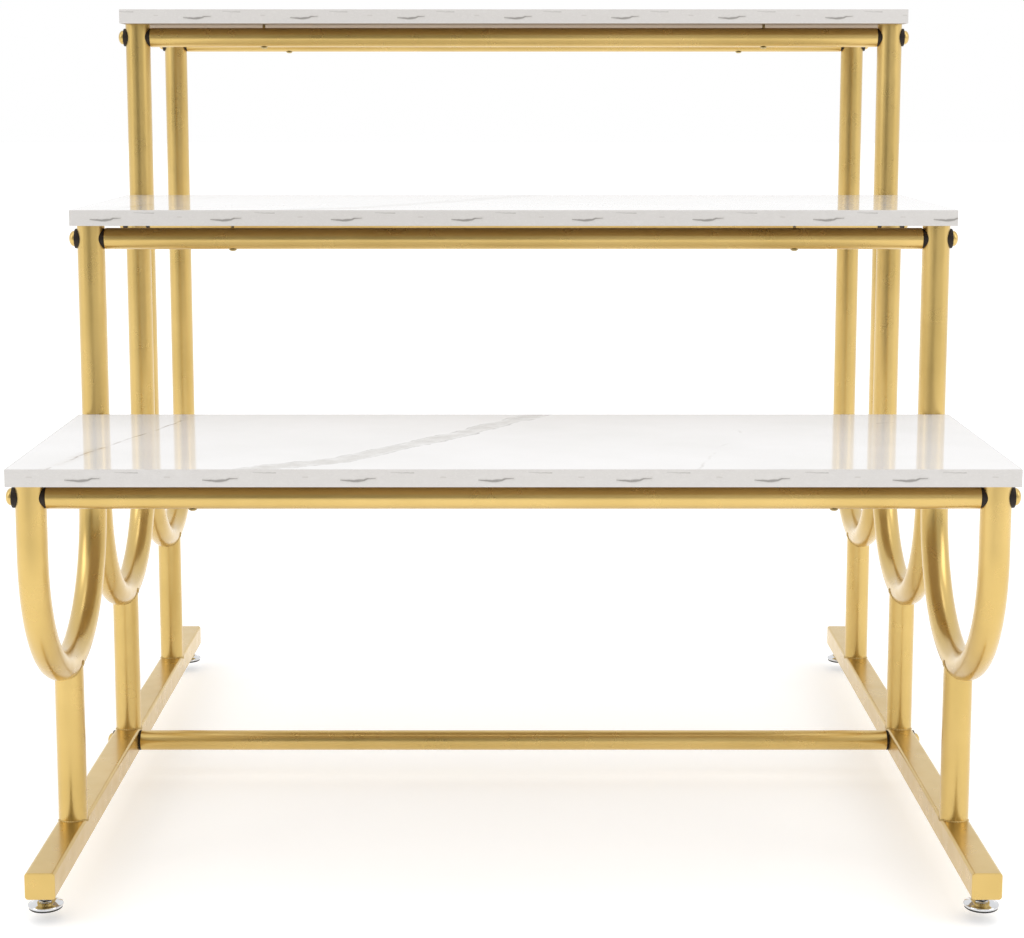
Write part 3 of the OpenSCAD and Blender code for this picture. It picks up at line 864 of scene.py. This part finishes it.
def bolt(face_x, length):
    """Round-headed bolt with a hexagon socket: flat face at face_x, shank inwards."""
    head_r, head_h, shank_r = 8 * MM, HEAD_H, 3 * MM
    rim = 1.4 * MM
    outline = [(0, -length), (shank_r - 0.8 * MM, -length), (shank_r, -length + 0.8 * MM),
               (shank_r, 0)]
    outline += [(head_r - 0.4 * MM, 0), (head_r, 0.4 * MM), (head_r, rim)]
    for step in range(1, 11):
        turn = math.pi / 2 * step / 11
        outline.append((head_r * math.cos(turn), rim + (head_h - rim) * math.sin(turn)))
    outline += [(1.0 * MM, head_h), (0, head_h)]
    piece = turned(outline, (face_x, 0, 0), "X", 48)
    socket = rod(SOCKET_R, 6 * MM, (face_x + head_h, 0, 0), "X", 6)
    return cut(piece, socket)


def at_all_rail_ends(model, name, slot, node, look=None):
    """Copies a piece made for the right side to both ends of the six rails, as one object."""
    copies = []
    for tier in TIERS:
        for end in ENDS:
            for sx in SIDES.values():
                at = (0, limb_y(tier, end), rail_height(tier))
                copies.append(copy_of(model, at, half_turn=sx < 0))
    bpy.data.objects.remove(model)
    finish_piece(join(copies), name, BODY, slot, node, look=look)


at_all_rail_ends(saddle(RAIL_END, POST_X), "rail_saddles", "black_plastic", "saddle_spacers")
at_all_rail_ends(saddle(POST_X, WASHER_FACE), "bolt_saddles", "black_plastic", "saddle_washers")
at_all_rail_ends(bolt(WASHER_FACE, BOLT_LENGTH), "rail_bolts", "gold_metal", "shelf_rail_bolts")


def collar(inner_x, outer_x, radius):
    """A flat washer or spacer round the stretcher's bolt, with softened rims."""
    centre = ((inner_x + outer_x) / 2, stretcher.y, stretcher.z)
    disc = rod(radius, outer_x - inner_x, centre, "X", 64)
    soften(disc, lambda edge, middle: not along(edge, 0), 0.25 * MM, 2)
    return cut(disc, rod(BOLT_HOLE_R, 0.2, centre, "X", 32))


for node, name, slot in (("stretcher_spacers", "stretcher_collars", "black_plastic"),
                         ("stretcher_washers", "stretcher_outer_collars", "black_plastic")):
    low, high = boxes[node]
    start = boxes["base_stretcher"][1].x if node == "stretcher_spacers" else BASE_HIGH.x + 2 * POST_X
    disc = collar(start, high.x, (high.z - low.z) / 2)
    pair = join([copy_of(disc, (0, 0, 0)), copy_of(disc, (0, 2 * stretcher.y, 0), half_turn=True)])
    bpy.data.objects.remove(disc)
    finish_piece(pair, name, BODY, slot, node)

end_bolt = bolt(boxes["stretcher_washers"][1].x, BOLT_LENGTH)
pair = [copy_of(end_bolt, stretcher), copy_of(end_bolt, stretcher, half_turn=True)]
bpy.data.objects.remove(end_bolt)
finish_piece(join(pair), "stretcher_end_bolts", BODY, "gold_metal", "stretcher_bolts")

# Board screws: pan heads with a cross recess under each rail.
screws_low, screws_high = boxes["board_screws"]
SCREW_HEAD_R = 4 * MM
head_face = rail_height("lower") - RAIL_R
under_head = 0.8 * (head_face - screws_low.z)
SCREW_LENGTH = screws_high.z - rail_height("top") + RAIL_R
outline = [(0, -under_head), (1.2 * MM, -under_head), (2.2 * MM, -under_head + 0.2 * MM),
           (3.3 * MM, -under_head + 0.8 * MM), (SCREW_HEAD_R, -0.3 * MM), (SCREW_HEAD_R, 0),
           (1.6 * MM, 0)]
outline += [(1.6 * MM, SCREW_LENGTH - 3 * MM), (0, SCREW_LENGTH)]
screw = turned(outline, (0, 0, 0), "Z", 32)
RECESS_DEPTH = 1.2 * MM
for long_x, long_y in ((4.2 * MM, 0.8 * MM), (0.8 * MM, 4.2 * MM)):
    cut(screw, block((-long_x / 2, -long_y / 2, -under_head - 1 * MM),
                     (long_x / 2, long_y / 2, -under_head + RECESS_DEPTH)))
copies = []
for tier in TIERS:
    for end in ENDS:
        for x in (-SCREW_X, SCREW_X):
            copies.append(copy_of(screw, (x, limb_y(tier, end), rail_height(tier) - RAIL_R)))
bpy.data.objects.remove(screw)
finish_piece(join(copies), "board_fixing_screws", BODY, "zinc_plated_steel", "board_screws",
             look=yellow_zinc())

# ---- Boards ----------------------------------------------------------------------------------

BAND_SOFT = 0.5 * MM
for tier in TIERS:
    top_low, top_high = boxes[f"{tier}_shelf_top_laminate"]
    band_low, band_high = boxes[f"{tier}_shelf_edge_band"]
    look = stone_top(f"{tier}_stone_top", band_low.y)
    sheet = block(top_low, top_high)
    soften(sheet, lambda edge, middle: middle.z > top_high.z - 0.01 * MM, 0.12 * MM, 2)
    finish_piece(sheet, f"{tier}_stone_look_top", BODY, "stone_look_laminate",
                 f"{tier}_shelf_top_laminate", look=look, flat_faces=True)
    band = block(band_low, band_high)
    soften(band, lambda edge, middle: along(edge, 2), BAND_SOFT, 4)
    hollow = block((top_low.x, top_low.y, band_low.z - 1 * MM),
                   (top_high.x, top_high.y, band_high.z + 1 * MM))
    cut(band, hollow)

    def outer_rim(edge, middle):
        at_rim = min(middle.z - band_low.z, band_high.z - middle.z) < 0.01 * MM
        far_out = (abs(middle.x) > band_high.x - 0.3 * MM or middle.y < band_low.y + 0.3 * MM
                   or middle.y > band_high.y - 0.3 * MM)
        return at_rim and far_out and not along(edge, 2)

    soften(band, outer_rim, 0.4 * MM, 3)
    first = FIRST_STROKE[tier] + band_low.x
    finish_piece(band, f"{tier}_stone_look_edge", BODY, "stone_look_edge", f"{tier}_shelf_edge_band",
                 look=stone_edge(f"{tier}_stone_edge", first, band_low.z), flat_faces=True)

# ---- Levelling feet --------------------------------------------------------------------------

pad_low, pad_high = boxes["left_front_foot_pad"]
cup_low, cup_high = boxes["left_front_foot_cup"]
stud_top = boxes["left_front_foot_stud"][1].z
foot_at = middle_of("left_front_foot_cup")
pad_r = (pad_high.x - pad_low.x) / 2
cup_r = (cup_high.x - cup_low.x) / 2
cup_h = cup_high.z - cup_low.z
here = (foot_at.x, foot_at.y, 0)

pad = turned([(0, 0), (pad_r - 0.5 * MM, 0), (pad_r, 0.5 * MM), (pad_r, pad_high.z - 0.3 * MM),
              (pad_r - 0.3 * MM, pad_high.z), (0, pad_high.z)], here, "Z", 64)
for groove_r in (5 * MM, 9 * MM, 12.5 * MM):
    ring = rod(groove_r + 0.4 * MM, 1 * MM, here, facets=64)
    cut(ring, rod(groove_r - 0.4 * MM, 2 * MM, here, facets=64))
    cut(pad, ring)

# The stud's end sits a little above the floor of the bore in the cup's neck.
NECK_BORE_R = 4.9 * MM
NECK_BORE_DEPTH = 1.0 * MM
STUD_SUNK = 0.8 * MM
neck_r = 5.9 * MM
rolled = 1.3 * MM
skirt = [(0, 0.6 * MM), (cup_r - 2.2 * MM, 0.6 * MM), (cup_r - 1.7 * MM, 0), (cup_r - 0.5 * MM, 0)]
skirt += [(cup_r - rolled + rolled * math.cos(t), rolled + rolled * math.sin(t))
          for t in [math.radians(a) for a in (-40, -10, 20, 50, 75)]]
for step in range(1, 10):
    share = step / 10
    skirt.append((cup_r - 3 * MM + (neck_r + 1.6 * MM - cup_r + 3 * MM) * share,
                  2.7 * MM + (cup_h - 3.3 * MM) * math.sin(share * math.pi / 2)))
skirt += [(neck_r + 0.8 * MM, cup_h), (NECK_BORE_R, cup_h), (NECK_BORE_R, cup_h - NECK_BORE_DEPTH),
          (0, cup_h - NECK_BORE_DEPTH)]
cup = turned(skirt, (foot_at.x, foot_at.y, cup_low.z), "Z", 72)

THREAD_PITCH = 1.25 * MM
THREAD_DEPTH = 0.6 * MM
THREAD_R = 4 * MM
COLLAR_FLATS = 13 * MM
stud_foot = cup_high.z - STUD_SUNK
collar_low, collar_high = 9.2 * MM, 14.6 * MM


def threaded_rod(low_z, high_z):
    """An upright rod whose skin is pushed in along a screw line."""
    cuts = int((high_z - low_z) / THREAD_PITCH * 8)
    piece = rod(THREAD_R, high_z - low_z, (0, 0, (low_z + high_z) / 2), facets=24)
    pick(piece, "edges", lambda edge, middle: along(edge, 2))
    bpy.ops.mesh.subdivide(number_cuts=cuts)
    hold(piece)
    for vertex in piece.data.vertices:
        x, y, z = vertex.co
        phase = (z / THREAD_PITCH - math.atan2(y, x) / math.tau) % 1
        runout = min((z - low_z) / MM, (high_z - z) / MM, 1)
        shrink = 1 - THREAD_DEPTH * (abs(2 * phase - 1) * runout + 1 - runout) / THREAD_R
        vertex.co.x, vertex.co.y = x * shrink, y * shrink
    return piece


shank = threaded_rod(stud_foot, stud_top)
collar_middle = (0, 0, (collar_low + collar_high) / 2)
hexagon = rod(COLLAR_FLATS / math.sqrt(3), collar_high - collar_low, collar_middle, facets=6)
soften(hexagon, lambda edge, middle: not along(edge, 2), 0.5 * MM, 2)
soften(hexagon, lambda edge, middle: along(edge, 2)
       and (edge.verts[0].co - edge.verts[1].co).length > 3 * MM, 0.3 * MM, 2)
stud = join([shank, hexagon])
for side, sx in SIDES.items():
    for end in ENDS:
        corner = f"{side}_{end}"
        shift = middle_of(f"{corner}_foot_cup") - foot_at
        shift.z = 0
        finish_piece(copy_of(pad, shift), f"{corner}_rubber_pad", f"{corner}_foot", "rubber",
                     f"{corner}_foot_pad")
        finish_piece(copy_of(cup, shift), f"{corner}_chrome_cup", f"{corner}_foot", "chrome",
                     f"{corner}_foot_cup")
        finish_piece(copy_of(stud, shift + Vector(here)), f"{corner}_threaded_stud", f"{corner}_stud",
                     "zinc_plated_steel", f"{corner}_foot_stud")
for spare in (pad, cup, stud):
    bpy.data.objects.remove(spare)

# ---- CAD parts that stay in view, with their finishes ----------------------------------------

kept = {
    "rail_inserts": LOOKS["black_plastic"], "limb_plugs": LOOKS["black_plastic"],
    "foot_nuts": LOOKS["zinc_plated_steel"],
}
for tier in TIERS:
    kept[f"{tier}_shelf_core"] = LOOKS["fibreboard"]
    # Each board's underside takes the dark backing, painted shade under the board.
    kept[f"{tier}_shelf_bottom_laminate"] = SHADE_DARK_BACKING
for node, look in kept.items():
    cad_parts[node].data.materials.clear()
    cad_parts[node].data.materials.append(look)
